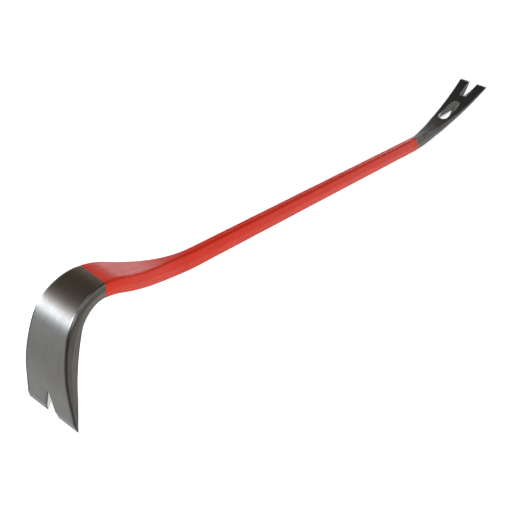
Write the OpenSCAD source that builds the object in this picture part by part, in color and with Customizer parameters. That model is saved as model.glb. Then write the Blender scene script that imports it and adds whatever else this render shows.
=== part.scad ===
// Forged wrecking bar: a wide hook claw on a gooseneck, a straight shank with a
// six-sided section, and a straight claw that sweeps up to its tip.
// The bar stands on the hook's edge and on the underside of the far bend.
// X runs from the hook to the straight claw, Y across the bar, Z up.

/* [Shank] */
// Width of the flats on the top and the underside of the shank
flat_w = 8.4; // [7:0.1:10]
// Width that the draft adds on each side, per millimetre of depth
draft = 0.104; // [0.05:0.002:0.15]
// Height of the shank
shank_h = 23.1; // [20:0.1:26]
// Length of the straight shank, between the gooseneck and the far bend
shank_len = 495; // [300:5:800]
// Chamfer along the long edges
edge_c = 1.3; // [0.8:0.1:1.6]

/* [Gooseneck] */
// Radius of the rise from the shank
rise_r = 338; // [300:1:380]
// Angle of the rise
rise_a = 20.7; // [16:0.1:22]
// Radius of the crest, up to the paint line
crest_r = 105; // [90:1:150]
// Angle of the crest
crest_a = 16.6; // [14:0.1:18]
// Width of the top face where the gooseneck meets the hook
neck_w = 36.7; // [32:0.1:40]

/* [Hook claw] */
// Radius of the tight bend
bend_r = 45.4; // [38:0.1:50]
// Angle of the tight bend
bend_a = 82.5; // [76:0.1:86]
// Radius of the heel below the bend
heel_r = 183; // [160:1:220]
// Angle of the heel
heel_a = 20.7; // [18:0.1:24]
// Length of the straight blade below the heel
blade_len = 42; // [38:1:60]
// Width of the hook claw at its edge
hook_w = 69.3; // [60:0.1:74]
// Thickness through the bend
bend_t = 16.7; // [14:0.1:18]
// Thickness of the blade at its edge, before the bevel
blade_t = 2.1; // [1.8:0.1:3]
// Length of the bevel on the blade's outer face
blade_bevel = 9.5; // [6:0.5:12]
// Width of the nail notch at the hook's edge
hook_notch_w = 15.2; // [12:0.2:18]
// Depth of the hook's nail notch
hook_notch_d = 33; // [28:1:38]

/* [Straight claw] */
// Radius of the upward sweep of the top face
sweep_r = 415; // [380:1:460]
// Angle of the upward sweep
sweep_a = 30.3; // [26:0.1:32]
// Width of the straight claw at its edge
claw_w = 47; // [42:0.5:52]
// Thickness of the claw at its edge, before the bevel
claw_t = 4.1; // [3.6:0.1:5]
// Length of the bevel on the claw's top face
claw_bevel = 6; // [5:0.5:9]
// Width of the nail notch at the claw's edge
claw_notch_w = 14.6; // [12:0.2:16]
// Width of the notch's countersunk end, on the top face
claw_notch_end_w = 11.6; // [10:0.2:13]
// Depth of the notch on the top face
claw_notch_d = 41; // [36:1:44]
// Radius of the nail hole's round end
hole_r = 7.6; // [6:0.1:8.5]
// Distance from the claw's edge to the centre of the hole's round end
hole_back = 107; // [102:1:112]
// Length of the nail hole's point, beyond the centre of its round end
hole_point = 33; // [30:1:38]
// Length of the countersink, beyond the centre of the hole's round end
hole_sink = 54; // [48:1:56]

/* [Paint] */
// Thickness of the red coat
coat_t = 0.2; // [0.15:0.05:0.3]
// Length of the coat past the end of the straight shank
coat_run = 15; // [10:1:18]

/* [Hidden] */

edge_t = 0.4;        // thickness left at a sharpened edge
edge_share = 0.25;   // largest chamfer, as a share of the thickness
overshoot = 3;       // how far cutters pass through a face
film = 0.01;         // thickness of an outline that a hull is stretched between
step = 5;            // largest distance between sections on a curve

widen_from = 20;     // where the gooseneck starts to widen
widen_past = 5;      // how far the gooseneck's and the hook's widening overlap
thin_past = 10;      // how far past the neck the gooseneck goes on thinning
taper_lead = 14;     // how far before the heel the hook starts to taper
width_power = 1.2;   // above 1, the hook spreads more towards its edge
depth_power = 2.1;   // above 1, the hook thins more towards its edge

claw_blend_w = 13;   // width gained by the blend out of the shank
claw_blend_d = 12;   // thickness lost by the same blend
widen_s = [5, 100];  // where that width is gained
thin_s = [18, 118];  // where that thickness is lost
spread_from = 75;    // where the claw starts to spread evenly
taper_from = 100;    // where the claw starts to taper evenly

notch_lead = 3;      // from the notch's square end to the point of its vee
notch_lift = 0.6;    // height of the notch's upper outline over the face
valley = 2.5;        // how far the countersink's valley passes its corners
sink_spread = 0.5;   // how much wider than the hole its far corners are
sink_share = 0.6;    // share of the thickness that a countersink goes through
relief = 0.3;        // how far a countersink's foot stays inside its hole

function arc_len(r, a) = r * a * PI / 180;

rise_len = arc_len(rise_r, rise_a);
neck_len = rise_len + arc_len(crest_r, crest_a);
bend_end = neck_len + arc_len(bend_r, bend_a);
heel_end = bend_end + arc_len(heel_r, heel_a);
hook_len = heel_end + blade_len;
claw_len = arc_len(sweep_r, sweep_a);
taper_start = bend_end - taper_lead;

// ---- the line of the bar's outer face, as [x, z, heading] at a distance s ----

// The point after an arc of a given length and turn, from [x, z, heading].
function along(p, length, turn) =
    let (half = turn / 2,
         chord = half == 0 ? length : length * sin(half) / (half * PI / 180))
    [p[0] + chord * cos(p[2] + half),
     p[1] + chord * sin(p[2] + half),
     p[2] + turn];

// Follows a chain of [length, turn] arcs for the distance s.
function trace(chain, s, p, i = 0) =
    let (arc = chain[i])
    s <= arc[0] || i == len(chain) - 1
        ? along(p, s, arc[1] * s / arc[0])
        : trace(chain, s - arc[0], along(p, arc[0], arc[1]), i + 1);

hook_chain = [
    [rise_len, -rise_a],
    [neck_len - rise_len, crest_a],
    [bend_end - neck_len, bend_a],
    [heel_end - bend_end, heel_a],
    [blade_len, 0]
];
claw_chain = [[claw_len, sweep_a]];

function hook_line(s) = trace(hook_chain, s, [0, 0, 180]);
function claw_line(s) = trace(claw_chain, s, [shank_len, 0, 0]);

// ---- how the section changes along the bar ----

function clamp01(u) = min(1, max(0, u));
function smooth(s, from, to) =
    let (u = clamp01((s - from) / (to - from))) u * u * (3 - 2 * u);

function hook_width(s) =
    let (from = neck_len - widen_past)
    flat_w + (neck_w - flat_w) * smooth(s, widen_from, neck_len + widen_past)
    + (hook_w - neck_w) * pow(clamp01((s - from) / (hook_len - from)), width_power);
function hook_depth(s) =
    shank_h - (shank_h - bend_t) * smooth(s, 0, neck_len + thin_past)
    - (bend_t - blade_t) * pow(clamp01((s - taper_start) / (hook_len - taper_start)), depth_power);
function hook_bevel(s) =
    (blade_t - edge_t) * clamp01(1 - (hook_len - s) / blade_bevel);

// The claw's width and depth blend out of the shank, then change evenly.
function claw_width(s) =
    flat_w + claw_blend_w * smooth(s, widen_s[0], widen_s[1])
    + (claw_w - flat_w - claw_blend_w) * clamp01((s - spread_from) / (claw_len - spread_from));
function claw_depth(s) =
    shank_h - claw_blend_d * smooth(s, thin_s[0], thin_s[1])
    - (shank_h - claw_blend_d - claw_t) * clamp01((s - taper_from) / (claw_len - taper_from));
function claw_bevel_in(s) =
    (claw_t - edge_t) * clamp01(1 - (claw_len - s) / claw_bevel);

// ---- sections ----

// A chamfered six-sided ring across the bar. It lies at p = [x, z, heading],
// with its depth measured along the heading turned by side (90 or -90), and
// is grown outwards by skin.
function ring(p, side, width, bevel, depth, skin = 0) =
    let (top = bevel - skin,
         low = depth + skin,
         mid = (bevel + depth) / 2,
         half = width / 2 + skin,
         ridge = half + draft * (depth - bevel) / 2,
         c = min(edge_c, edge_share * (low - top)),
         right = [[half - c, top], [half, top + c], [ridge, mid],
                  [half, low - c], [half - c, low]],
         left = [for (i = [4:-1:0]) [-right[i][0], right[i][1]]],
         inward = [cos(p[2] + side), sin(p[2] + side)])
    [for (q = concat(right, left))
        [p[0] + q[1] * inward[0], q[0], p[1] + q[1] * inward[1]]];

function hook_ring(s, skin = 0) =
    ring(hook_line(s), 90, hook_width(s), hook_bevel(s), hook_depth(s), skin);
function claw_ring(s, skin = 0) =
    ring(claw_line(s), -90, claw_width(s), claw_bevel_in(s), claw_depth(s), skin);

// Even distances from one end of a stretch up to, but not including, the other.
function spaced(from, to) =
    let (n = ceil(abs(to - from) / step))
    [for (i = [0:n - 1]) from + (to - from) * i / n];

painted_hook_s = spaced(neck_len, 0);
bare_hook_s = concat(
    spaced(hook_len, hook_len - blade_bevel),
    spaced(hook_len - blade_bevel, heel_end),
    spaced(heel_end, bend_end),
    spaced(bend_end, neck_len));
bare_claw_s = concat(
    spaced(coat_run, claw_len - claw_bevel),
    spaced(claw_len - claw_bevel, claw_len),
    [claw_len]);

function painted_rings(skin) = concat(
    [for (s = painted_hook_s) hook_ring(s, skin)],
    [hook_ring(0, skin), claw_ring(0, skin)],
    [for (s = [coat_run / 3, coat_run * 2 / 3, coat_run]) claw_ring(s, skin)]);

// ---- solids from rings ----

function joined(rings) = [for (r = rings) for (p = r) p];

// Triangles between ring a and the next, for n points a ring. The diagonals
// mirror each other across the bar.
function side_faces(a, n, flip = false) = [
    for (j = [0:n - 1])
        let (k = (j + 1) % n,
             p = a * n + j, q = a * n + k,
             r = p + n, t = q + n,
             pair = j < n / 2 ? [[p, q, t], [p, t, r]] : [[p, q, r], [q, t, r]])
        for (f = pair) flip ? [f[2], f[1], f[0]] : f];

// A closed solid through a list of rings.
module loft(rings) {
    n = len(rings[0]);
    last = len(rings) - 1;
    polyhedron(
        points = joined(rings),
        faces = concat(
            [[for (j = [n - 1:-1:0]) j]],
            [for (a = [0:last - 1]) for (f = side_faces(a, n)) f],
            [[for (j = [0:n - 1]) last * n + j]]),
        convexity = 6);
}

// A closed sleeve between two lists of rings.
module sleeve(outer, inner) {
    n = len(outer[0]);
    last = len(outer) - 1;
    base = len(outer) * n;
    function rim(a, flip) = [
        for (j = [0:n - 1])
            let (k = (j + 1) % n,
                 p = a * n + j, q = a * n + k,
                 pair = [[q, p, base + p], [q, base + p, base + q]])
            for (f = pair) flip ? [f[2], f[1], f[0]] : f];
    polyhedron(
        points = concat(joined(outer), joined(inner)),
        faces = concat(
            [for (a = [0:last - 1]) for (f = side_faces(a, n)) f],
            [for (a = [0:last - 1]) for (f = side_faces(a, n, true)) [for (i = f) i + base]],
            rim(0, false),
            rim(last, true)),
        convexity = 8);
}

// ---- the stance: on the hook's edge and the underside of the far bend ----

function below(p, side, depth) =
    [p[0] + depth * cos(p[2] + side), p[1] + depth * sin(p[2] + side)];

edge_point = below(hook_line(hook_len), 90, hook_bevel(hook_len));
lean = min([for (s = [0:1:claw_len])
    let (p = below(claw_line(s), -90, claw_depth(s)))
    atan2(p[1] - edge_point[1], p[0] - edge_point[0])]);

function stood_x(p) =
    (p[0] - edge_point[0]) * cos(lean) + (p[1] - edge_point[1]) * sin(lean);
back_x = min([for (s = bare_hook_s) stood_x(below(hook_line(s), 90, hook_bevel(s)))]);
front_x = stood_x(below(claw_line(claw_len), -90, claw_t));
centre_x = (back_x + front_x) / 2;

module stood() {
    translate([-centre_x, 0, 0])
        rotate([0, lean, 0])
            translate([-edge_point[0], 0, -edge_point[1]])
                children();
}

// ---- the claws' nail notches and nail hole ----

// Puts children on the line of a face: X towards the edge, Z out of the face.
module on_hook(s) {
    p = hook_line(s);
    translate([p[0], 0, p[1]]) rotate([0, -p[2], 0]) rotate([180, 0, 0]) children();
}
module on_claw(s) {
    p = claw_line(s);
    translate([p[0], 0, p[1]]) rotate([0, -p[2], 0]) children();
}

// A vee that opens towards +X, from a point at x = 0 to the given width at run.
module vee(run, width) {
    past = (run + overshoot) / run;
    polygon([[0, 0], [run * past, -width / 2 * past], [run * past, width / 2 * past]]);
}

module hook_notch() {
    on_hook(hook_len - hook_notch_d)
        translate([0, 0, -bend_t])
            linear_extrude(bend_t + overshoot)
                vee(hook_notch_d, hook_notch_w);
}

// The claw's notch is a vee, countersunk from the top face into a square end.
module claw_notch() {
    vee_run = claw_notch_d - notch_lead;
    depth = claw_depth(claw_len - claw_notch_d);
    side = (claw_notch_w - claw_notch_end_w) / 2 / claw_notch_d;
    far_half = claw_notch_w / 2 + side * overshoot;
    on_claw(claw_len - claw_notch_d) {
        translate([notch_lead, 0, -2 * depth])
            linear_extrude(3 * depth)
                vee(vee_run, claw_notch_w);
        hull() {
            translate([0, 0, notch_lift])
                linear_extrude(overshoot)
                    polygon([
                        [0, -claw_notch_end_w / 2],
                        [claw_notch_d + overshoot, -far_half],
                        [claw_notch_d + overshoot, far_half],
                        [0, claw_notch_end_w / 2]
                    ]);
            translate([notch_lead + relief, 0, -sink_share * depth])
                linear_extrude(film)
                    vee(vee_run - relief, claw_notch_w - 2 * relief);
        }
    }
}

// The nail hole is a drop with its point towards the edge, countersunk from
// the top face into two facets that meet in a valley.
module nail_hole() {
    depth = claw_depth(claw_len - hole_back);
    sink_r = hole_r - relief;
    sink_half = hole_r + sink_spread;
    on_claw(claw_len - hole_back) {
        translate([0, 0, -2 * depth])
            linear_extrude(3 * depth) {
                circle(hole_r, $fn = 32);
                polygon([
                    [0, -hole_r],
                    [hole_point, 0],
                    [0, hole_r]
                ]);
            }
        hull() {
            translate([0, 0, overshoot])
                linear_extrude(film)
                    polygon([
                        [0, -sink_r],
                        [hole_sink, -sink_half],
                        [hole_sink + valley, 0],
                        [hole_sink, sink_half],
                        [0, sink_r]
                    ]);
            translate([0, 0, -sink_share * depth])
                linear_extrude(film)
                    polygon([[0, -sink_r], [hole_point - relief, 0], [0, sink_r]]);
        }
    }
}

// ---- sub-parts ----

// The whole tool, forged from one bar of steel.
module forged_bar() {
    color([0.44, 0.42, 0.39])
        stood()
            difference() {
                loft(concat(
                    [for (s = bare_hook_s) hook_ring(s)],
                    painted_rings(0),
                    [for (i = [1:len(bare_claw_s) - 1]) claw_ring(bare_claw_s[i])]));
                hook_notch();
                claw_notch();
                nail_hole();
            }
}

// The red paint on the gooseneck and the shank.
module red_coat() {
    color([0.78, 0.12, 0.10])
        stood()
            sleeve(painted_rings(coat_t), painted_rings(0));
}

forged_bar();
red_coat();
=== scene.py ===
"""Pry bar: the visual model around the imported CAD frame.

The bar is one forging and the paint is a thin coat on it. Both are lofted here
from the same lines and sections as the CAD part, with finer stations, rounded
corners and a slightly uneven surface. Sections are worked out in millimetres
in the bar's own frame, then leaned and placed on the CAD box in metres.
"""

import math

import bmesh
import bpy
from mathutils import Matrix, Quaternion, Vector, noise


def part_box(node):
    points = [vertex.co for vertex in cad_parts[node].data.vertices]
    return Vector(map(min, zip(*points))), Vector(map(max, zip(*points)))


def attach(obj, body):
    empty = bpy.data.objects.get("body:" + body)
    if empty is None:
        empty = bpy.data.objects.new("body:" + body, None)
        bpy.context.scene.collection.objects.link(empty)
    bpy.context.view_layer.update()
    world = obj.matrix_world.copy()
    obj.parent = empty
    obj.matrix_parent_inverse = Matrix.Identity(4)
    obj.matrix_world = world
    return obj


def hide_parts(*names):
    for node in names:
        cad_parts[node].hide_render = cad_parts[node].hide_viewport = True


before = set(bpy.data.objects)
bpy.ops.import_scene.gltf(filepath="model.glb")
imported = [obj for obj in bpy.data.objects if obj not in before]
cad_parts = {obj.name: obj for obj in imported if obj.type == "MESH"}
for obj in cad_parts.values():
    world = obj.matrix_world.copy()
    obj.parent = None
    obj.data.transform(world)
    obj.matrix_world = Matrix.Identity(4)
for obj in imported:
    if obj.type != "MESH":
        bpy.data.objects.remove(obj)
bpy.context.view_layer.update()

MM = 0.001

# ---- the bar's dimensions, in millimetres and degrees, as in the CAD part ----

FLAT_W = 8.4
DRAFT = 0.104
SHANK_H = 23.1
SHANK_LEN = 495.0

RISE_R, RISE_A = 338.0, 20.7
CREST_R, CREST_A = 105.0, 16.6
NECK_W = 36.7

BEND_R, BEND_A = 45.4, 82.5
HEEL_R, HEEL_A = 183.0, 20.7
BLADE_LEN = 42.0
HOOK_W = 69.3
WIDTH_POWER, DEPTH_POWER = 1.2, 2.1  # above 1, the hook changes more towards its edge
WIDEN_FROM = 20.0  # where the gooseneck starts to widen
WIDEN_PAST = 5.0  # how far the gooseneck's and the hook's widening overlap
THIN_PAST = 10.0  # how far past the neck the gooseneck goes on thinning
TAPER_LEAD = 14.0  # how far before the heel the hook starts to taper
BEND_T = 16.7
BLADE_T = 2.1
BLADE_BEVEL = 9.5
HOOK_NOTCH_HALF = 7.6
HOOK_NOTCH_D = 33.0

SWEEP_R, SWEEP_A = 415.0, 30.3
CLAW_W = 47.0
CLAW_T = 4.1
CLAW_BEVEL = 6.0
CLAW_BLEND_W, WIDEN_S = 13.0, (5.0, 100.0)  # width gained by the blend out of the shank, and where
CLAW_BLEND_D, THIN_S = 12.0, (18.0, 118.0)  # thickness lost by the same blend, and where
SPREAD_FROM = 75.0  # where the claw starts to spread evenly
TAPER_FROM = 100.0  # where the claw starts to taper evenly
CLAW_NOTCH_HALF = 7.3
CLAW_NOTCH_END = 5.8
CLAW_NOTCH_D = 41.0
SQUARE_END = 3.0  # from the notch's square end to the point of its vee
HOLE_R = 7.6
HOLE_BACK = 107.0
HOLE_POINT = 33.0
SINK_LEN = 54.0
SINK_HALF = 8.1
VALLEY = 2.5  # how far the countersink's valley passes its corners
OVERSHOOT = 3.0  # how far the CAD part's cutters pass through a face
SINK_SHARE = 0.6  # share of the thickness that a countersink goes through

COAT_RUN = 15.0  # how far the coat goes past the shank
EDGE_T = 0.4  # thickness left at a ground edge

# The visual model's own
COAT_T = 0.15  # the CAD part's coat is 0.2 thick, and starts on the steel
COAT_SUNK = 0.06  # how far the coat's inner face lies inside the steel, so that no gap shows
NOTCH_ROOT = 4.0  # rounds the root of the hook's notch
GRIND_EASE = 0.12  # share of a ground bevel on which it comes in gently


def arc_len(radius, angle):
    return math.radians(angle) * radius


RISE_LEN = arc_len(RISE_R, RISE_A)
NECK_LEN = RISE_LEN + arc_len(CREST_R, CREST_A)
BEND_END = NECK_LEN + arc_len(BEND_R, BEND_A)
HEEL_END = BEND_END + arc_len(HEEL_R, HEEL_A)
HOOK_LEN = HEEL_END + BLADE_LEN
CLAW_LEN = arc_len(SWEEP_R, SWEEP_A)
TAPER_START = BEND_END - TAPER_LEAD

HOOK_CHAIN = [
    (RISE_LEN, -RISE_A),
    (NECK_LEN - RISE_LEN, CREST_A),
    (BEND_END - NECK_LEN, BEND_A),
    (HEEL_END - BEND_END, HEEL_A),
    (BLADE_LEN, 0.0),
]
CLAW_CHAIN = [(SHANK_LEN, 0.0), (CLAW_LEN, SWEEP_A)]

# Distances along the bar run from -HOOK_LEN at the hook's edge, through 0 at
# the start of the gooseneck, to BAR_END at the straight claw's edge.
BAR_END = SHANK_LEN + CLAW_LEN
HOLE_AT = BAR_END - HOLE_BACK
CLAW_NOTCH_AT = BAR_END - CLAW_NOTCH_D
HOOK_NOTCH_AT = HOOK_LEN - HOOK_NOTCH_D


def along(point, length, turn):
    x, z, heading = point
    half = math.radians(turn / 2)
    chord = length * math.sin(half) / half if half else length
    way = math.radians(heading) + half
    return x + chord * math.cos(way), z + chord * math.sin(way), heading + turn


def trace(chain, s, point):
    for i, (length, turn) in enumerate(chain):
        if s <= length or i == len(chain) - 1:
            return along(point, s, turn * s / length)
        point = along(point, length, turn)
        s -= length


def line(g):
    """The top line at g: x, z and the direction into the bar, in degrees."""
    if g < 0:
        x, z, heading = trace(HOOK_CHAIN, -g, (0.0, 0.0, 180.0))
        return x, z, heading + 90
    x, z, heading = trace(CLAW_CHAIN, g, (0.0, 0.0, 0.0))
    return x, z, heading - 90


def clamp01(u):
    return min(1.0, max(0.0, u))


def smooth(s, start, end):
    u = clamp01((s - start) / (end - start))
    return u * u * (3 - 2 * u)


def mix(a, b, u):
    return a + (b - a) * u


def sizes(g):
    """The section at g: width of the top face, bevel on it, and depth."""
    if g < 0:
        s = -g
        spread = clamp01((s - NECK_LEN + WIDEN_PAST) / (HOOK_LEN - NECK_LEN + WIDEN_PAST)) ** WIDTH_POWER
        thin = clamp01((s - TAPER_START) / (HOOK_LEN - TAPER_START)) ** DEPTH_POWER
        neck = (NECK_W - FLAT_W) * smooth(s, WIDEN_FROM, NECK_LEN + WIDEN_PAST)
        width = FLAT_W + neck + (HOOK_W - NECK_W) * spread
        lost = (SHANK_H - BEND_T) * smooth(s, 0, NECK_LEN + THIN_PAST)
        depth = SHANK_H - lost - (BEND_T - BLADE_T) * thin
        bevel = (BLADE_T - EDGE_T) * ground(HOOK_LEN - s, BLADE_BEVEL)
        return width, bevel, depth
    s = max(0.0, g - SHANK_LEN)
    spread = clamp01((s - SPREAD_FROM) / (CLAW_LEN - SPREAD_FROM))
    taper = clamp01((s - TAPER_FROM) / (CLAW_LEN - TAPER_FROM))
    width = FLAT_W + CLAW_BLEND_W * smooth(s, *WIDEN_S) + (CLAW_W - FLAT_W - CLAW_BLEND_W) * spread
    depth = SHANK_H - CLAW_BLEND_D * smooth(s, *THIN_S) - (SHANK_H - CLAW_BLEND_D - CLAW_T) * taper
    bevel = (CLAW_T - EDGE_T) * ground(CLAW_LEN - s, CLAW_BEVEL)
    return width, bevel, depth


def ground(left, run):
    """How far a ground bevel has come, with its start eased in."""
    u = clamp01(1 - left / run)
    return u if u > 2 * GRIND_EASE else u * u / (4 * GRIND_EASE)


# ---- the half section: a path round one side of the bar ----

ROUND_HOOK, ROUND_PAINTED, ROUND_CLAW = 1.3, 2.0, 1.5  # how far a corner's rounding reaches
RIDGE_ROUND = 1.2
BREAK = 0.4  # the same at the rim of a notch or of the nail hole
ROUND_SHARE, RIDGE_SHARE = 0.3, 0.2  # the most of the depth that these may take
BREAK_SHARE = 0.45  # the same for a break, of an opening's half width
BREAK_DEPTH_SHARE = 0.15  # and of the depth
SPLIT_SHARE = 0.35  # of the half width: where the inner points of an uncut top face end
SPLIT_RUN = 20.0  # the length on which they close towards an opening
SPLIT_PAST = 40.0  # past the shank: where the straight claw's rules for them start
TINY = 1e-9
ON_MIDDLE = 1e-6  # points nearer the middle plane than this lie on it

# How many points each stretch of the path has. The facet's six are counted out in half_section().
WALL, FACET, RIM, TOP, CORNER, FLANK, RIDGE, UNDER = 5, 6, 3, 8, 5, 4, 3, 8


def soft_reach(g):
    hook = mix(ROUND_PAINTED, ROUND_HOOK, smooth(-g, NECK_LEN, BEND_END))
    return mix(hook, ROUND_CLAW, smooth(g, SHANK_LEN + COAT_RUN, SHANK_LEN + 4 * COAT_RUN))


def bend(a, corner, b, count):
    """Points along a rounded corner from a to b."""
    out = []
    for i in range(count):
        u = i / (count - 1)
        p, q, r = (1 - u) ** 2, 2 * u * (1 - u), u * u
        out.append((p * a[0] + q * corner[0] + r * b[0], p * a[1] + q * corner[1] + r * b[1]))
    return out


def toward(a, b, reach):
    far = math.dist(a, b)
    u = reach / far if far > TINY else 0.0
    return a[0] + (b[0] - a[0]) * u, a[1] + (b[1] - a[1]) * u


def between(a, b, count):
    """Even points strictly between a and b."""
    return [
        (mix(a[0], b[0], i / (count + 1)), mix(a[1], b[1], i / (count + 1)))
        for i in range(1, count + 1)
    ]


def notch_half(u, depth, half):
    """Half width of a vee at u from its rounded root."""
    u = max(0.0, u)
    scale = half / math.sqrt(depth * depth + 2 * NOTCH_ROOT * depth)
    return scale * math.sqrt(u * u + 2 * NOTCH_ROOT * u)


def pocket(g, mode):
    """What is cut into the section at g, on one side of the middle.

    rim: half width at the top face. wall: half width right through.
    sink: depth of the wall's top. knee: the point (half width, depth) where
    the sloping facet turns into the steeper one below the rim.
    """
    _, bevel, depth = sizes(g)
    if mode == "hook":
        half = notch_half(-g - HOOK_NOTCH_AT, HOOK_NOTCH_D, HOOK_NOTCH_HALF)
        sink = (depth - bevel) / 2
        return {"rim": half, "wall": half, "sink": sink, "knee": (half, sink)}
    if mode == "hole":
        u = g - HOLE_AT
        if u < 0:
            half = math.sqrt(max(0.0, HOLE_R * HOLE_R - u * u))
            return {"rim": half, "wall": half, "sink": SINK_DEPTH, "knee": (half, SINK_DEPTH)}
        left = 1 - u / HOLE_POINT
        rim = mix(HOLE_R, RIM_HALF, u / HOLE_POINT)
        return {"rim": rim, "wall": HOLE_R * left, "sink": SINK_DEPTH, "knee": (rim, SINK_DEPTH * left)}
    if mode == "valley":
        here = HOLE_AT + HOLE_POINT
        fall = clamp01((VALLEY_END - g) / (VALLEY_END - here))
        climb = clamp01((g - here) / (VALLEY_CORNER - here))
        corner_half = SINK_HALF * SINK_SHOWN
        if g < VALLEY_CORNER:
            rim = mix(RIM_HALF, corner_half, climb)
        else:
            rim = corner_half * clamp01((VALLEY_END - g) / (VALLEY_END - VALLEY_CORNER))
        knee = (corner_half * climb, SINK_DEPTH * (1 - climb)) if climb < 1 else (rim, 0.0)
        return {"rim": rim, "wall": 0.0, "sink": SINK_DEPTH * fall, "knee": knee}
    if mode in ("square", "claw"):
        u = g - CLAW_NOTCH_AT
        full = SINK_SHARE * sizes(CLAW_NOTCH_AT)[2]
        sink = min(full, bevel + SINK_SHARE * (depth - bevel)) - bevel
        rim = mix(CLAW_NOTCH_END, CLAW_NOTCH_HALF, u / CLAW_NOTCH_D)
        if mode == "square":
            v = u / SQUARE_END
            knee = (CLAW_NOTCH_END * (1 - v), sink * v)
            return {"rim": rim, "wall": 0.0, "sink": sink * v, "knee": knee}
        v = (u - SQUARE_END) / (CLAW_NOTCH_D - SQUARE_END)
        return {"rim": rim, "wall": CLAW_NOTCH_HALF * v, "sink": sink, "knee": (rim, sink * v)}
    return None


def half_section(g, mode, skin=0.0):
    """Points (across, inwards) round one side of the section at g."""
    width, bevel, depth = sizes(g)
    top, low = bevel - skin, depth + skin
    half = width / 2 + skin
    a = (half, top)
    b = (half + DRAFT * (depth - bevel) / 2, (top + low) / 2)
    c = (half, low)
    thick = low - top
    soft = min(soft_reach(g), ROUND_SHARE * thick)
    soft_ridge = min(RIDGE_ROUND, RIDGE_SHARE * thick)

    cut = pocket(g, mode)
    if cut:
        rim, through, sink = cut["rim"], cut["wall"], cut["sink"]
        lip = min(BREAK, BREAK_SHARE * rim, BREAK_DEPTH_SHARE * thick)
        foot = min(BREAK, BREAK_SHARE * through, BREAK_DEPTH_SHARE * thick)
        base = (through, top + sink)
        knee = (max(cut["knee"][0], through), top + cut["knee"][1])
        edge = (rim, top)
        steep = math.dist(knee, edge)
        start = toward(edge, knee if steep > lip else base, lip)
        if steep <= lip:
            knee = start
        facet = [base, *between(base, knee, 2), knee, *between(knee, start, 2)]
        rim_points = bend(start, edge, (rim + lip, top), RIM)
        top_start = (rim + lip, top)
        under_end = (through + foot, low)
        foot_points = bend(under_end, (through, low), (through, low - foot), RIM)
        wall = [(through, mix(low - foot, top + sink, i / WALL)) for i in range(1, WALL)]
    else:
        split = solid_split(g, half)
        lip = min(BREAK, BREAK_SHARE * split)
        start = (split - lip, top)
        facet = [(0.0, top), *between((0.0, top), start, 2), start, start, start]
        rim_points = [start, (split, top), (split + lip, top)]
        top_start = (split + lip, top)
        under_end = (0.0, low)
        foot_points = [under_end] * RIM
        wall = [under_end] * (WALL - 1)

    p1, p2 = (half - soft, top), toward(a, b, soft)
    p3, p4 = toward(b, a, soft_ridge), toward(b, c, soft_ridge)
    p5, p6 = toward(c, b, soft), (half - soft, low)
    points = wall + facet + rim_points
    points += between(top_start, p1, TOP)
    points += bend(p1, a, p2, CORNER) + between(p2, p3, FLANK)
    points += bend(p3, b, p4, RIDGE) + between(p4, p5, FLANK)
    points += bend(p5, c, p6, CORNER)
    points += between(p6, under_end, UNDER) + foot_points
    return points


N_WALL = WALL - 1
N_HALF = N_WALL + FACET + RIM + TOP + CORNER + FLANK + RIDGE + FLANK + CORNER + UNDER + RIM
CORNER_1 = N_WALL + FACET + RIM + TOP
CORNER_2 = CORNER_1 + CORNER + FLANK + RIDGE + FLANK
OPEN_MODES = ("solid", "valley", "square")


def solid_split(g, half):
    """Where the top face's inner points end, so that stretches meet exactly."""
    plain = SPLIT_SHARE * half
    if g <= -HOOK_NOTCH_AT + SPLIT_RUN:
        return plain * clamp01((g + HOOK_NOTCH_AT) / SPLIT_RUN)
    if SHANK_LEN + SPLIT_PAST < g <= HOLE_AT:
        return plain * clamp01((HOLE_AT - HOLE_R - g) / SPLIT_RUN)
    if HOLE_AT < g:
        return CLAW_NOTCH_END * clamp01((g - VALLEY_END) / (CLAW_NOTCH_AT - VALLEY_END))
    return plain


SINK_DEPTH = SINK_SHARE * sizes(HOLE_AT)[2]
SINK_SHOWN = SINK_DEPTH / (SINK_DEPTH + OVERSHOOT)
RIM_HALF = mix(HOLE_R, SINK_HALF, SINK_SHOWN)
VALLEY_END = HOLE_AT + HOLE_POINT + (SINK_LEN + VALLEY - HOLE_POINT) * SINK_SHOWN
VALLEY_CORNER = HOLE_AT + HOLE_POINT + (SINK_LEN - HOLE_POINT) * SINK_SHOWN


# ---- stations ----


def even(a, b, gap):
    """Even stations from a to b, no more than gap apart."""
    n = max(1, math.ceil(abs(b - a) / gap))
    return [mix(a, b, i / n) for i in range(n + 1)]


def eased(a, b, count):
    """Stations from a to b, close together near a."""
    return [mix(a, b, (i / count) ** 2) for i in range(count + 1)]


def chained(*runs):
    out = list(runs[0])
    for run in runs[1:]:
        out += run[1:]
    return out


HOOK_ROOT = -HOOK_NOTCH_AT
ROOT_RUN, ROOT_STATIONS = 6.0, 8  # the hook notch's rounded root, with stations close together
NEAR_HOLE = 4.0  # past the nail hole's round end, where stations stay close together
HOLE_STEPS = 12  # over the quarter circle of the nail hole's round end
GOOSENECK_GAP, SHANK_GAP, CLAW_GAP = 3.0, 7.0, 2.0  # the same for the bar and for its coat

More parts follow.
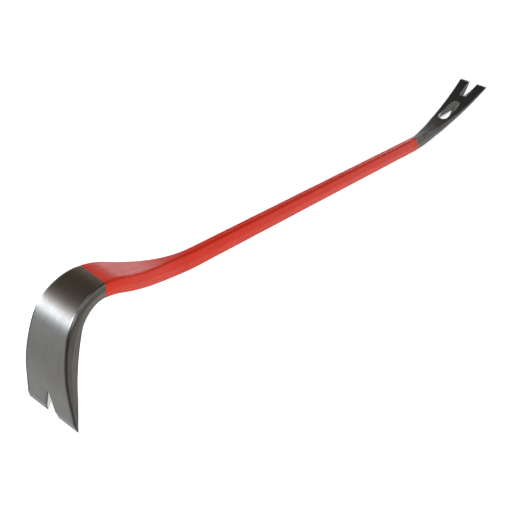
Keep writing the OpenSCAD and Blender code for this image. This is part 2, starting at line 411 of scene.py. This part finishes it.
# What is cut into each stretch of the bar, and the stations along it. Gaps are in millimetres.
BAR_RUNS = [
    ("hook", chained(
        even(-HOOK_LEN, -HOOK_LEN + BLADE_BEVEL, 0.8),
        even(-HOOK_LEN + BLADE_BEVEL, HOOK_ROOT - ROOT_RUN, 1.5),
        list(reversed(eased(HOOK_ROOT, HOOK_ROOT - ROOT_RUN, ROOT_STATIONS))))),
    ("solid", chained(
        even(HOOK_ROOT, -HEEL_END, 2.0),
        even(-HEEL_END, -BEND_END, 2.5),
        even(-BEND_END, -NECK_LEN, 1.4),
        even(-NECK_LEN, 0.0, GOOSENECK_GAP),
        even(0.0, SHANK_LEN, SHANK_GAP),
        even(SHANK_LEN, SHANK_LEN + COAT_RUN, CLAW_GAP),
        even(SHANK_LEN + COAT_RUN, HOLE_AT - HOLE_R, 2.5))),
    ("hole", chained(
        [HOLE_AT - HOLE_R * math.cos(math.radians(90 / HOLE_STEPS * i)) for i in range(HOLE_STEPS + 1)],
        even(HOLE_AT, HOLE_AT + NEAR_HOLE, 0.8),
        even(HOLE_AT + NEAR_HOLE, HOLE_AT + HOLE_POINT, 1.8))),
    ("valley", chained(
        even(HOLE_AT + HOLE_POINT, VALLEY_CORNER, 1.4),
        even(VALLEY_CORNER, VALLEY_END, 0.7))),
    ("solid", even(VALLEY_END, CLAW_NOTCH_AT, 1.6)),
    ("square", even(CLAW_NOTCH_AT, CLAW_NOTCH_AT + SQUARE_END, 1.0)),
    ("claw", chained(
        even(CLAW_NOTCH_AT + SQUARE_END, BAR_END - CLAW_BEVEL, 1.5),
        even(BAR_END - CLAW_BEVEL, BAR_END, 0.6))),
]


# ---- placing: lean the bar onto its hook's edge and far bend ----


def inside(g, across, inwards):
    x, z, way = line(g)
    turn = math.radians(way)
    return x + inwards * math.cos(turn), across, z + inwards * math.sin(turn)


EDGE_X, _, EDGE_Z = inside(-HOOK_LEN, 0, sizes(-HOOK_LEN)[1])


def low_angle(s):
    x, _, z = inside(SHANK_LEN + s, 0, sizes(SHANK_LEN + s)[2])
    return math.atan2(z - EDGE_Z, x - EDGE_X)


LEAN = min(low_angle(s) for s in range(int(CLAW_LEN) + 1))


def leaned(p):
    x, z = p[0] - EDGE_X, p[2] - EDGE_Z
    return x * math.cos(LEAN) + z * math.sin(LEAN), p[1], z * math.cos(LEAN) - x * math.sin(LEAN)


bar_low, bar_high = (Vector(corner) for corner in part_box("forged_bar"))
BACK_X = min(leaned(inside(-s, 0, 0))[0] for s in range(int(NECK_LEN), int(HOOK_LEN)))
FRONT_X = leaned(inside(BAR_END, 0, sizes(BAR_END)[2]))[0]
SHIFT = Vector((bar_low.x - BACK_X * MM, (bar_low.y + bar_high.y) / 2, bar_low.z))

WAVER_FROM, WAVER_TO = (-435, -400), (380, 420)  # from the middle, where it comes in and goes out
WAVER_SIZE = 62  # of one hump
WAVER_ACROSS, WAVER_DOWN = 0.07, 0.14  # the most that a point is moved
WAVER_FLOOR = 8  # height above the floor from which the dips are whole
SWAY_OFFSET = Vector((7.7, 0, 0))  # another place in the same noise


def wavered(p):
    """Makes the shank and the gooseneck a little uneven, as forgings are."""
    x, y, z = p
    along_bar = x - (FRONT_X + BACK_X) / 2
    share = smooth(along_bar, *WAVER_FROM) * (1 - smooth(along_bar, *WAVER_TO))
    at = Vector((x, y, z)) / WAVER_SIZE
    dip = clamp01(0.5 + noise.noise(at)) * clamp01(z / WAVER_FLOOR)
    sway = noise.noise(at + SWAY_OFFSET)
    return x, y + WAVER_ACROSS * sway * share, z - WAVER_DOWN * dip * share


def placed(p):
    return Vector(wavered(leaned(p))) * MM + SHIFT


# ---- meshes ----

MELT = 1e-7  # metres: edges shorter than this are dissolved
WELD = MELT * 20  # metres: points nearer than this are merged
SHARP_ANGLE = 32  # degrees between faces, above which an edge is shaded sharp
SHADING_WEIGHT = 60


class Shell:
    """Half sections joined into a mesh, mirrored across the bar."""

    def __init__(self):
        self.points, self.marks, self.faces, self.uvs = [], [], [], []

    def ring(self, stations, points, marks):
        """Adds one station on both sides; returns the index of its first point."""
        first = len(self.points)
        run = [0.0]
        for a, b in zip(points, points[1:]):
            run.append(run[-1] + math.dist(a, b))
        middle = run[CORNER_1]
        for side in (1, -1):
            for k, (across, inwards) in enumerate(points):
                self.points.append(inside(stations[k], side * across, inwards))
                self.marks.append(marks[k])
                self.uvs.append((stations[k] * MM, side * (run[k] - middle + points[CORNER_1][0]) * MM))
        return first

    def quad(self, a, b, k, n, closed=False):
        """Faces between rings a and b at point k, on both sides."""
        m = (k + 1) % N_HALF if closed else k + 1
        self.faces.append((a + k, b + k, b + m, a + m))
        self.faces.append((a + n + m, b + n + m, b + n + k, a + n + k))

    def build(self, name):
        mesh = bpy.data.meshes.new(name)
        mesh.from_pydata([placed(p) for p in self.points], [], self.faces)
        layer = mesh.uv_layers.new(name="grain")
        for loop in mesh.loops:
            layer.data[loop.index].uv = self.uvs[loop.vertex_index]
        for key in ("edge", "inner", "flank"):
            attribute = mesh.attributes.new(key, "FLOAT", "POINT")
            attribute.data.foreach_set("value", [m[key] for m in self.marks])
        work = bmesh.new()
        work.from_mesh(mesh)
        loose = [v for v in work.verts if not v.link_faces]
        bmesh.ops.delete(work, geom=loose, context="VERTS")
        bmesh.ops.remove_doubles(work, verts=work.verts, dist=WELD)
        bmesh.ops.dissolve_degenerate(work, edges=work.edges, dist=MELT)
        bmesh.ops.recalc_face_normals(work, faces=work.faces)
        work.to_mesh(mesh)
        work.free()
        piece = bpy.data.objects.new(name, mesh)
        bpy.context.collection.objects.link(piece)
        return piece


LOWER_FLANK = 0.5  # the flank's mark below its ridge


def marks_for(mode):
    """Where on the section each point is: a corner, a cut face or a flank."""
    out = []
    rim = N_WALL + FACET
    middle = CORNER // 2
    for k in range(N_HALF):
        corner = CORNER_1 <= k < CORNER_1 + CORNER or CORNER_2 <= k < CORNER_2 + CORNER
        at_rim = mode != "solid" and rim <= k < rim + RIM
        inner = 1.0 if mode != "solid" and k < rim + 1 else 0.0
        flank = 0.0
        if CORNER_1 + middle <= k <= CORNER_2 + middle:
            flank = 1.0 if k < CORNER_1 + CORNER + FLANK + 1 else LOWER_FLANK
        out.append({"edge": 1.0 if corner or at_rim else 0.0, "inner": inner, "flank": flank})
    return out


def make_bar():
    shell = Shell()
    for mode, stations in BAR_RUNS:
        open_ring = mode in OPEN_MODES
        first_face = N_WALL if open_ring else 0
        last_face = N_HALF - RIM if open_ring else N_HALF - 1
        marks = marks_for(mode)
        rings = [shell.ring([g] * N_HALF, half_section(g, mode), marks) for g in stations]
        for a, b in zip(rings, rings[1:]):
            for k in range(first_face, last_face):
                shell.quad(a, b, k, N_HALF)
            if not open_ring:
                shell.quad(a, b, N_HALF - 1, N_HALF, closed=True)
        if mode == "hook":
            cap(shell, rings[0])
        if mode == "claw":
            cap(shell, rings[-1])
    return shell.build("steel_bar")


def cap(shell, ring):
    """Closes both teeth of a claw at its edge."""
    for side in (0, N_HALF):
        shell.faces.append(tuple(ring + side + k for k in range(N_HALF)))


# The masked ends of the paint are skewed, bowed and slightly wavy lines.
END_WAVE, END_WAVE_SIZE, END_WAVE_PLANE = 0.45, 9, 3.1
END_RAMP = 20.0  # how far from an end its shape has died away
END_SHIFT = 0.6
HOOK_SKEW, HOOK_SAG = 1.8, 3.0  # across the top, and down the flank, at the hook
CLAW_SAG, CLAW_RISE, CLAW_SAG_SHARE = 14.0, 3.0, 0.8  # on the flank and on the middle, at the claw
LIP_RUN = 0.6
LIP_SHARE = 0.04  # square of the share of its thickness that the coat has at its very end


def paint_shift(g, across, inwards, half):
    """How far a point of the coat is moved along the bar by its masked end."""
    near_hook = clamp01((g + NECK_LEN) / END_RAMP)
    near_claw = clamp01((SHANK_LEN + COAT_RUN - g) / END_RAMP)
    at = Vector((across / END_WAVE_SIZE, inwards / END_WAVE_SIZE, END_WAVE_PLANE))
    wave = noise.noise(at) * END_WAVE
    low = clamp01(inwards / BEND_T)
    hook = (1 - near_hook) * (END_SHIFT + HOOK_SKEW * across / half + HOOK_SAG * low * low + wave)
    side = (abs(across) / half) ** 2
    sag = smooth(inwards, 0, CLAW_SAG_SHARE * SHANK_H)
    claw = (1 - near_claw) * (wave + END_SHIFT + CLAW_SAG * side * sag - CLAW_RISE * (1 - side) * sag)
    return hook + claw


def coat_thickness(g, start, end):
    """Thickness of the coat: it thins to nearly nothing at its masked ends."""
    left = min(g - start, end - g)
    return COAT_T * math.sqrt(mix(LIP_SHARE, 1.0, clamp01(left / LIP_RUN)))


def make_coat():
    start, end = -NECK_LEN, SHANK_LEN + COAT_RUN
    runs = chained(
        [start, start + LIP_RUN / 2, start + LIP_RUN],
        even(start + LIP_RUN, 0.0, GOOSENECK_GAP),
        even(0.0, SHANK_LEN, SHANK_GAP),
        even(SHANK_LEN, end - LIP_RUN, CLAW_GAP),
        [end - LIP_RUN, end - LIP_RUN / 2, end])
    shell = Shell()
    marks = marks_for("solid")
    rings = []
    layers = [(g, coat_thickness(g, start, end)) for g in runs]
    layers += [(g, -COAT_SUNK) for g in reversed(runs)]
    for g, skin in layers:
        points = half_section(g, "solid", skin)
        half = max(p[0] for p in points)
        first = shell.ring([g] * N_HALF, points, marks)
        for k, (across, inwards) in enumerate(points):
            for offset, side in ((0, 1), (N_HALF, -1)):
                side = 0 if across < ON_MIDDLE else side
                station = g + paint_shift(g, side * across, inwards, half)
                moved = half_section(station, "solid", skin)[k]
                shell.points[first + offset + k] = inside(station, side * moved[0], moved[1])
        rings.append(first)
    for a, b in zip(rings, [*rings[1:], rings[0]]):
        for k in range(N_WALL, N_HALF - RIM):
            shell.quad(a, b, k, N_HALF)
    return shell.build("red_enamel")


def finish_mesh(piece):
    mesh = piece.data
    mesh.polygons.foreach_set("use_smooth", [True] * len(mesh.polygons))
    mesh.set_sharp_from_angle(angle=math.radians(SHARP_ANGLE))
    weighted = piece.modifiers.new("even_shading", "WEIGHTED_NORMAL")
    weighted.keep_sharp = True
    weighted.weight = SHADING_WEIGHT


bar = make_bar()
coat = make_coat()
finish_mesh(bar)
finish_mesh(coat)

# ---- materials ----


def new_material(name):
    material = bpy.data.materials.new(name)
    material.use_nodes = True
    nodes = material.node_tree.nodes
    nodes.clear()
    out = nodes.new("ShaderNodeOutputMaterial")
    shader = nodes.new("ShaderNodeBsdfPrincipled")
    material.node_tree.links.new(shader.outputs["BSDF"], out.inputs["Surface"])
    return material, material.node_tree, shader


def wire(tree, source, target):
    tree.links.new(source, target)


def noise_node(tree, vector, scale, detail, roughness):
    made = tree.nodes.new("ShaderNodeTexNoise")
    made.inputs["Scale"].default_value = scale
    made.inputs["Detail"].default_value = detail
    made.inputs["Roughness"].default_value = roughness
    wire(tree, vector, made.inputs["Vector"])
    return made.outputs["Fac"]


def ramp(tree, factor, stops, smooth_steps=False):
    """Maps a factor through (position, value or colour) stops."""
    made = tree.nodes.new("ShaderNodeValToRGB")
    made.color_ramp.interpolation = "EASE" if smooth_steps else "LINEAR"
    elements = made.color_ramp.elements
    while len(elements) < len(stops):
        elements.new(0.5)
    for element, (position, value) in zip(elements, stops):
        element.position = position
        element.color = (*value, 1) if isinstance(value, tuple) else (value, value, value, 1)
    wire(tree, factor, made.inputs["Fac"])
    return made.outputs["Color"]


def math_node(tree, operation, a, b=None):
    made = tree.nodes.new("ShaderNodeMath")
    made.operation = operation
    for i, value in enumerate((a, b)):
        if value is None:
            continue
        if isinstance(value, (int, float)):
            made.inputs[i].default_value = value
        else:
            wire(tree, value, made.inputs[i])
    return made.outputs["Value"]


def blend(tree, factor, a, b):
    """Mixes colour b over colour a by a factor."""
    made = tree.nodes.new("ShaderNodeMix")
    made.data_type = "RGBA"
    for key, kind, value in (("Factor", "VALUE", factor), ("A", "RGBA", a), ("B", "RGBA", b)):
        target = next(s for s in made.inputs if s.name == key and s.type == kind)
        if isinstance(value, (int, float)):
            target.default_value = value
        elif isinstance(value, tuple):
            target.default_value = (*value, 1)
        else:
            wire(tree, value, target)
    return next(s for s in made.outputs if s.type == "RGBA")


def attribute(tree, name):
    made = tree.nodes.new("ShaderNodeAttribute")
    made.attribute_name = name
    return made.outputs["Fac"]


def object_coords(tree):
    return tree.nodes.new("ShaderNodeTexCoord").outputs["Object"]


def grain_map(tree):
    """Metres along and round the bar."""
    uv = tree.nodes.new("ShaderNodeUVMap")
    uv.uv_map = "grain"
    return uv.outputs["UV"]


def stretched(tree, scale):
    mapping = tree.nodes.new("ShaderNodeMapping")
    mapping.inputs["Scale"].default_value = scale
    wire(tree, grain_map(tree), mapping.inputs["Vector"])
    return mapping.outputs["Vector"]


def bump(tree, height, strength, distance, under=None):
    """A relief of a strength and a depth in metres, laid over another one's normal."""
    made = tree.nodes.new("ShaderNodeBump")
    made.inputs["Strength"].default_value = strength
    made.inputs["Distance"].default_value = distance
    wire(tree, height, made.inputs["Height"])
    if under:
        wire(tree, under, made.inputs["Normal"])
    return made.outputs["Normal"]


# Steel colours
BRIGHT, BROWN, BLUED = (0.092, 0.088, 0.079), (0.185, 0.134, 0.094), (0.104, 0.102, 0.096)
# Painted shade on the flanks: the facet above the ridge is painted dark, the one below it lighter, both a
# neutral grey
SHADED_FLANK_ABOVE, LIT_FLANK_BELOW = (0.056, 0.052, 0.047), (0.112, 0.107, 0.098)
STREAK, FINE_SCRATCH, TARNISH = (0.06, 0.052, 0.044), (0.22, 0.205, 0.185), (0.07, 0.06, 0.05)
SPECK, SCORE = (0.06, 0.055, 0.05), (0.034, 0.031, 0.028)
# Painted light: a painted highlight on the cut faces and on the corners, and a painted dark reflection on
# the corners near the hook's edge
HIGHLIT_CUT_FACES, CORNER_HIGHLIGHT, CORNER_DARK_REFLECTION = (0.66, 0.65, 0.63), (0.42, 0.41, 0.39), (0.022, 0.021, 0.02)

# Distances along the bar, in millimetres, at which those change
BROWN_FROM, BROWN_FULL, BROWN_TO = -NECK_LEN - 50, -NECK_LEN - 25, -NECK_LEN - 5
# Where the painted highlight on the corners comes in
HIGHLIGHT_FROM, HIGHLIGHT_FULL = -212, -200
# Where the painted dark reflection on the hook's corners ends, and where it has faded out
DARK_EDGE_TO, DARK_EDGE_GONE = -218, -202

# Enamel colours; the corner colour is a painted shade along the corners
RED_DEEP, RED_LIGHT, SHADED_RED_CORNER = (0.575, 0.024, 0.0065), (0.61, 0.029, 0.009), (0.48, 0.013, 0.005)


def steel_material():
    material, tree, shader = new_material("bare_steel")
    coords = object_coords(tree)
    parts = tree.nodes.new("ShaderNodeSeparateXYZ")
    wire(tree, grain_map(tree), parts.inputs["Vector"])

    grain = noise_node(tree, stretched(tree, (22.0, 1500.0, 1.0)), scale=1.0, detail=2.0, roughness=0.6)
    streaks = noise_node(tree, stretched(tree, (9.0, 260.0, 1.0)), scale=1.0, detail=3.0, roughness=0.6)
    cloud = noise_node(tree, coords, scale=34.0, detail=4.0, roughness=0.6)
    speckle = noise_node(tree, coords, scale=900.0, detail=2.0, roughness=0.7)
    edge, inner, flank = (attribute(tree, name) for name in ("edge", "inner", "flank"))

    # The share of the bar's length, from the hook's edge to the straight claw's.
    total = (BAR_END + HOOK_LEN) * MM
    share = math_node(tree, "DIVIDE", math_node(tree, "ADD", parts.outputs["X"], HOOK_LEN * MM), total)

    def at(g):
        return (g + HOOK_LEN) * MM / total

    # Satin steel on the blade; browner towards the paint and blued on the far claw.
    base = ramp(tree, share, [
        (at(-HOOK_LEN), BRIGHT),
        (at(BROWN_FROM), BRIGHT),
        (at(BROWN_FULL), BROWN),
        (at(BROWN_TO), BROWN),
        (at(-NECK_LEN), BLUED),
        (at(SHANK_LEN + COAT_RUN), BLUED),
        (at(BAR_END), BLUED),
    ])
    # Painted shade: the flank's upper facet is painted darker and its lower facet lighter, over a neutral
    # grey that replaces the brown
    side = ramp(tree, flank, [(0.0, 0.0), (0.3, 0.9), (1.0, 0.9)])
    toned = blend(tree, side, base, ramp(tree, flank, [(LOWER_FLANK, LIT_FLANK_BELOW), (1.0, SHADED_FLANK_ABOVE)]))
    toned = blend(tree, math_node(tree, "MULTIPLY", streaks, 0.3), toned, STREAK)
    toned = blend(tree, ramp(tree, grain, [(0.35, 0.0), (0.75, 0.22)]), toned, FINE_SCRATCH)
    toned = blend(tree, ramp(tree, cloud, [(0.45, 0.0), (0.75, 0.3)]), toned, TARNISH)
    toned = blend(tree, ramp(tree, speckle, [(0.5, 0.0), (0.75, 0.4)]), toned, SPECK)
    scored = math_node(tree, "MULTIPLY", side, ramp(tree, streaks, [(0.46, 0.0), (0.62, 0.75)]))
    toned = blend(tree, scored, toned, SCORE)
    # Painted highlight: the faces cut into the notches and the nail hole are painted far brighter than the
    # steel
    toned = blend(tree, math_node(tree, "MULTIPLY", inner, 0.85), toned, HIGHLIT_CUT_FACES)

    # Painted highlight: the corners are painted bright, broken up by noise, apart from a painted dark
    # reflection on the corners near the hook's edge.
    corner_glint = math_node(tree, "MULTIPLY", edge, ramp(tree, cloud, [(0.4, 0.1), (0.6, 0.5)]))
    upper = ramp(tree, share, [(at(HIGHLIGHT_FROM), 0.0), (at(HIGHLIGHT_FULL), 1.0), (at(-NECK_LEN), 0.8), (0.9, 0.5)])
    toned = blend(tree, math_node(tree, "MULTIPLY", corner_glint, upper), toned, CORNER_HIGHLIGHT)
    # Painted dark reflection on the corners of the blade, near the hook's edge
    lower = ramp(tree, share, [
        (at(-HOOK_LEN), 0.95), (at(DARK_EDGE_TO), 0.95), (at(DARK_EDGE_GONE), 0.0), (1.0, 0.0)])
    toned = blend(tree, math_node(tree, "MULTIPLY", edge, lower), toned, CORNER_DARK_REFLECTION)
    wire(tree, toned, shader.inputs["Base Color"])
    shader.inputs["Metallic"].default_value = 1.0

    rough = math_node(tree, "ADD", 0.27, math_node(tree, "MULTIPLY", cloud, 0.1))
    rough = math_node(tree, "ADD", rough, math_node(tree, "MULTIPLY", speckle, 0.08))
    rough = math_node(tree, "ADD", rough, math_node(tree, "MULTIPLY", grain, 0.07))
    rough = math_node(tree, "SUBTRACT", rough, math_node(tree, "MULTIPLY", inner, 0.1))
    wire(tree, rough, shader.inputs["Roughness"])

    fine = bump(tree, math_node(tree, "ADD", grain, speckle), strength=0.3, distance=0.00004)
    wide = bump(tree, cloud, strength=0.35, distance=0.0003, under=fine)
    wire(tree, wide, shader.inputs["Normal"])
    return material


def enamel_material():
    material, tree, shader = new_material("red_enamel")
    coords = object_coords(tree)
    cloud = noise_node(tree, coords, scale=28.0, detail=3.0, roughness=0.55)
    peel = noise_node(tree, coords, scale=620.0, detail=2.0, roughness=0.5)
    flow = noise_node(tree, stretched(tree, (30.0, 160.0, 1.0)), scale=1.0, detail=2.0, roughness=0.5)

    base = blend(tree, ramp(tree, cloud, [(0.35, 0.0), (0.7, 1.0)]), RED_DEEP, RED_LIGHT)
    # Painted shade: the enamel's corners are painted a darker red
    base = blend(tree, math_node(tree, "MULTIPLY", attribute(tree, "edge"), 0.45), base, SHADED_RED_CORNER)
    wire(tree, base, shader.inputs["Base Color"])
    rough = math_node(tree, "ADD", 0.22, math_node(tree, "MULTIPLY", flow, 0.12))
    wire(tree, rough, shader.inputs["Roughness"])
    shader.inputs["Specular IOR Level"].default_value = 0.07

    skin = bump(tree, peel, strength=0.25, distance=0.00006)
    sag = bump(tree, flow, strength=0.16, distance=0.0003, under=skin)
    wire(tree, sag, shader.inputs["Normal"])
    return material


def floor_material():
    material, tree, shader = new_material("pale_floor")
    mottle = noise_node(tree, object_coords(tree), scale=5.0, detail=2.0, roughness=0.5)
    base = ramp(tree, mottle, [(0.0, (0.62, 0.62, 0.62)), (1.0, (0.64, 0.64, 0.64))])
    wire(tree, base, shader.inputs["Base Color"])
    shader.inputs["Roughness"].default_value = 0.9
    shader.inputs["Specular IOR Level"].default_value = 0.0
    shader.inputs["Emission Color"].default_value = (1.0, 1.0, 1.0, 1.0)
    shader.inputs["Emission Strength"].default_value = 0.74
    return material


bar.data.materials.append(steel_material())
coat.data.materials.append(enamel_material())

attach(bar, "root")
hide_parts("forged_bar")
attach(coat, "root")
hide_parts("red_coat")

# ---- floor ----

FLOOR_HALF = 6.0
floor_mesh = bpy.data.meshes.new("floor")
corners = [(x * FLOOR_HALF, y * FLOOR_HALF, 0) for x, y in ((-1, -1), (1, -1), (1, 1), (-1, 1))]
floor_mesh.from_pydata(corners, [], [(0, 1, 2, 3)])
floor = bpy.data.objects.new("floor", floor_mesh)
bpy.context.collection.objects.link(floor)
floor_mesh.materials.append(floor_material())

# ---- studio light ----

HOOK_SPOT = Vector((-0.43, 0.0, 0.1))
MIDDLE = Vector((0.0, 0.0, 0.05))
WHITE, COOL, WARM = (1.0, 1.0, 1.0), (0.76, 0.86, 1.0), (1.0, 0.98, 0.95)


def compass(azimuth, elevation):
    a, e = math.radians(azimuth), math.radians(elevation)
    return Vector((math.cos(e) * math.cos(a), math.cos(e) * math.sin(a), math.sin(e)))


def softbox(name, target, azimuth, elevation, distance, size, radiance, colour, in_gloss=True):
    """A rectangular light of a given radiance, aimed at a target. Angles are in degrees."""
    data = bpy.data.lights.new(name, "AREA")
    data.shape = "RECTANGLE"
    data.size, data.size_y = size
    data.energy = radiance * math.pi * size[0] * size[1]
    data.color = colour
    lamp = bpy.data.objects.new(name, data)
    way = compass(azimuth, elevation)
    lamp.location = target + way * distance
    lamp.rotation_euler = way.to_track_quat("Z", "Y").to_euler()
    lamp.visible_glossy = in_gloss
    lamp.visible_camera = False
    bpy.context.collection.objects.link(lamp)


# The window's reflection is the bright band on the hook's bend.
softbox("window", HOOK_SPOT, azimuth=140, elevation=16.5, distance=1.5,
        size=(0.9, 0.46), radiance=27.5, colour=COOL)
softbox("back", MIDDLE, azimuth=32, elevation=4, distance=2.5,
        size=(2.6, 0.34), radiance=4.6, colour=WHITE)
softbox("front", MIDDLE, azimuth=-138, elevation=48, distance=2.0,
        size=(1.4, 1.2), radiance=2.6, colour=WARM)
softbox("above", MIDDLE, azimuth=0, elevation=90, distance=2.2,
        size=(2.4, 2.0), radiance=0.35, colour=WHITE, in_gloss=False)

world = bpy.data.worlds.new("studio")
bpy.context.scene.world = world
world.use_nodes = True
tree = world.node_tree
tree.nodes.clear()
sky_out = tree.nodes.new("ShaderNodeOutputWorld")
sky = tree.nodes.new("ShaderNodeBackground")
wire(tree, sky.outputs["Background"], sky_out.inputs["Surface"])
direction = tree.nodes.new("ShaderNodeTexCoord").outputs["Generated"]
height = tree.nodes.new("ShaderNodeSeparateXYZ")
wire(tree, direction, height.inputs["Vector"])
HORIZON_GLOW = [(0.0, 0.75), (0.25, 0.75), (0.42, 0.7), (0.54, 0.16), (1.0, 0.14)]  # by height
glow = ramp(tree, height.outputs["Z"], HORIZON_GLOW, smooth_steps=True)
wire(tree, glow, sky.inputs["Color"])

# ---- camera ----

CAMERA_AT = Vector((-0.7479, -0.4175, 0.5760))
CAMERA_AIM = Vector((-0.1407, 0.0, 0.0150))
CAMERA_ROLL = 5.552  # degrees
LENS, SENSOR = 53.94, 36.0

camera_data = bpy.data.cameras.new("camera")
camera_data.lens = LENS
camera_data.sensor_width = SENSOR
camera_data.clip_start = 0.01
camera = bpy.data.objects.new("camera", camera_data)
camera.location = CAMERA_AT
turned = (CAMERA_AIM - CAMERA_AT).to_track_quat("-Z", "Y") @ Quaternion((0, 0, 1), math.radians(CAMERA_ROLL))
camera.rotation_euler = turned.to_euler()
bpy.context.collection.objects.link(camera)
bpy.context.scene.camera = camera
bpy.context.scene.view_settings.view_transform = "Standard"
